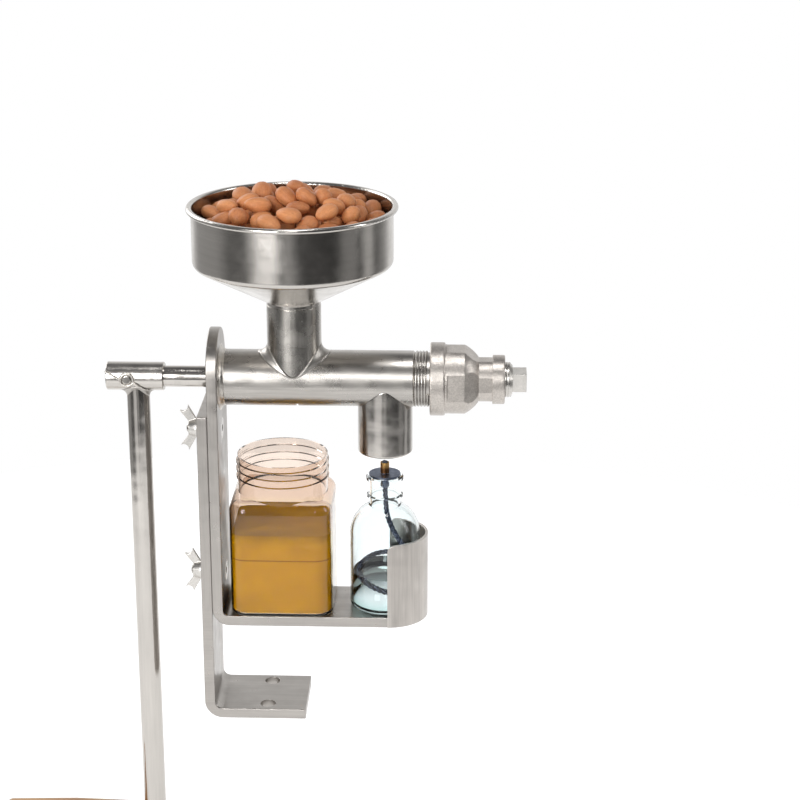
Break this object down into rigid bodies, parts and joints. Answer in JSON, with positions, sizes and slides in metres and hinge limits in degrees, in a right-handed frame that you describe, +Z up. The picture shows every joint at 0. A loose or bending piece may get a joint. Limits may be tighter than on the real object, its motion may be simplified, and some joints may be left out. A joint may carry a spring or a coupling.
{
  "type": "screw oil press",
  "caption": "Hand-cranked screw oil press on a bent flat-bar stand, with feed hopper, heated barrel, adjustable cake outlet, oil jar and spirit lamp.",
  "frame": {"origin": "middle of the foot's two bolt holes, on the underside of the foot", "axes": "+Z up, +X along the barrel towards the cake outlet, +Y away from the side it is served from"},
  "size_m": [0.4172, 0.155, 0.5181],
  "materials": {
    "bar_steel": "brushed flat bar, satin, rounded edges",
    "tube_steel": "drawn tube polished lengthwise to a soft sheen",
    "weld_steel": "dressed weld",
    "guard_steel": "rolled sheet, satin, upright grain",
    "crank_steel": "bright drawn tube",
    "screw_steel": "turned and milled steel",
    "hopper_steel": "spun sheet, fine circular grain, polished rim",
    "cast_steel": "investment-cast stainless, grainy matt skin",
    "fastener_steel": "plain stainless fasteners",
    "bearing_steel": "ground and polished",
    "bronze": "turned bronze",
    "wick_brass": "heat-browned brass",
    "grip_wood": "turned beech, oiled",
    "jar_plastic": "clear blown plastic, glossy",
    "lamp_glass": "clear pressed glass",
    "wick_cotton": "twisted cotton, blue-grey"
  },
  "bodies": {
    "frame": {"stand": "bar_steel", "head_plate": "bar_steel", "clamp_screw_upper": "fastener_steel", "clamp_screw_lower": "fastener_steel", "barrel": "tube_steel", "barrel_weld": "weld_steel", "feed_tube": "tube_steel", "feed_weld": "weld_steel", "heating_cup": "tube_steel", "bottle_guard": "guard_steel", "shaft_bushing": "bronze", "thrust_race_rear": "bearing_steel"},
    "screw": {"press_screw": "screw_steel", "thrust_race_front": "bearing_steel", "crank_sleeve": "crank_steel", "crank_arm": "crank_steel", "arm_weld": "weld_steel", "cross_pin": "crank_steel", "pin_weld": "weld_steel", "grip_spindle": "fastener_steel", "spindle_nut": "fastener_steel"},
    "bearing_cage": {"ball_cage": "bronze", "thrust_balls": "bearing_steel"},
    "grip": {"grip": "grip_wood"},
    "hopper": {"hopper": "hopper_steel"},
    "seal": {"barrel_seal": "bronze"},
    "coupling": {"coupling": "cast_steel"},
    "choke": {"choke_ring": "bearing_steel"},
    "plug": {"adjusting_plug": "cast_steel"},
    "washer_upper": {"washer_upper": "fastener_steel"},
    "wing_nut_upper": {"wing_nut_upper": "fastener_steel"},
    "washer_lower": {"washer_lower": "fastener_steel"},
    "wing_nut_lower": {"wing_nut_lower": "fastener_steel"},
    "jar": {"oil_jar": "jar_plastic"},
    "lamp": {"lamp_bottle": "lamp_glass", "wick_holder": "wick_brass", "wick": "wick_cotton"}
  },
  "joints": [
    {"name": "crank_turn", "type": "hinge", "parent": "frame", "child": "screw", "pos_m": [0, 0, 0.2685], "axis": [1, 0, 0], "continuous": true},
    {"name": "cage_turn", "type": "hinge", "parent": "frame", "child": "bearing_cage", "pos_m": [0, 0, 0.2685], "axis": [1, 0, 0], "continuous": true},
    {"name": "grip_turn", "type": "hinge", "parent": "screw", "child": "grip", "pos_m": [-0.16, 0, -0.104], "axis": [1, 0, 0], "continuous": true},
    {"name": "hopper_lift", "type": "slide", "parent": "frame", "child": "hopper", "axis": [0, 0, 1], "range_m": [0, 0.1]},
    {"name": "coupling_travel", "type": "slide", "parent": "frame", "child": "seal", "axis": [1, 0, 0], "range_m": [0, 0.01617]},
    {"name": "coupling_turn", "type": "hinge", "parent": "seal", "child": "coupling", "pos_m": [0.14, 0, 0.2685], "axis": [1, 0, 0], "range_deg": [0, 2520]},
    {"name": "plug_travel", "type": "slide", "parent": "coupling", "child": "choke", "axis": [1, 0, 0], "range_m": [-0.00182, 0.01089]},
    {"name": "plug_turn", "type": "hinge", "parent": "choke", "child": "plug", "pos_m": [0.17, 0, 0.2685], "axis": [1, 0, 0], "range_deg": [-360, 2160]},
    {"name": "wing_nut_upper_travel", "type": "slide", "parent": "frame", "child": "washer_upper", "axis": [-1, 0, 0], "range_m": [0, 0.00876]},
    {"name": "wing_nut_upper_turn", "type": "hinge", "parent": "washer_upper", "child": "wing_nut_upper", "pos_m": [-0.05, 0, 0.2281], "axis": [-1, 0, 0], "range_deg": [0, 2520]},
    {"name": "wing_nut_lower_travel", "type": "slide", "parent": "frame", "child": "washer_lower", "axis": [-1, 0, 0], "range_m": [0, 0.00876]},
    {"name": "wing_nut_lower_turn", "type": "hinge", "parent": "washer_lower", "child": "wing_nut_lower", "pos_m": [-0.05, 0, 0.1119], "axis": [-1, 0, 0], "range_deg": [0, 2520]},
    {"name": "jar_slide", "type": "slide", "parent": "frame", "child": "jar", "axis": [0, -1, 0], "range_m": [0, 0.12]},
    {"name": "lamp_lift", "type": "slide", "parent": "frame", "child": "lamp", "axis": [0, 0, 1], "range_m": [0, 0.035]}
  ],
  "couplings": [
    {"joint": "cage_turn", "follows": "crank_turn", "ratio": 0.5},
    {"joint": "coupling_travel", "follows": "coupling_turn", "m_per_rad": 0.00036749},
    {"joint": "plug_travel", "follows": "plug_turn", "m_per_rad": 0.00028871},
    {"joint": "wing_nut_upper_travel", "follows": "wing_nut_upper_turn", "m_per_rad": 0.00019894},
    {"joint": "wing_nut_lower_travel", "follows": "wing_nut_lower_turn", "m_per_rad": 0.00019894}
  ]
}
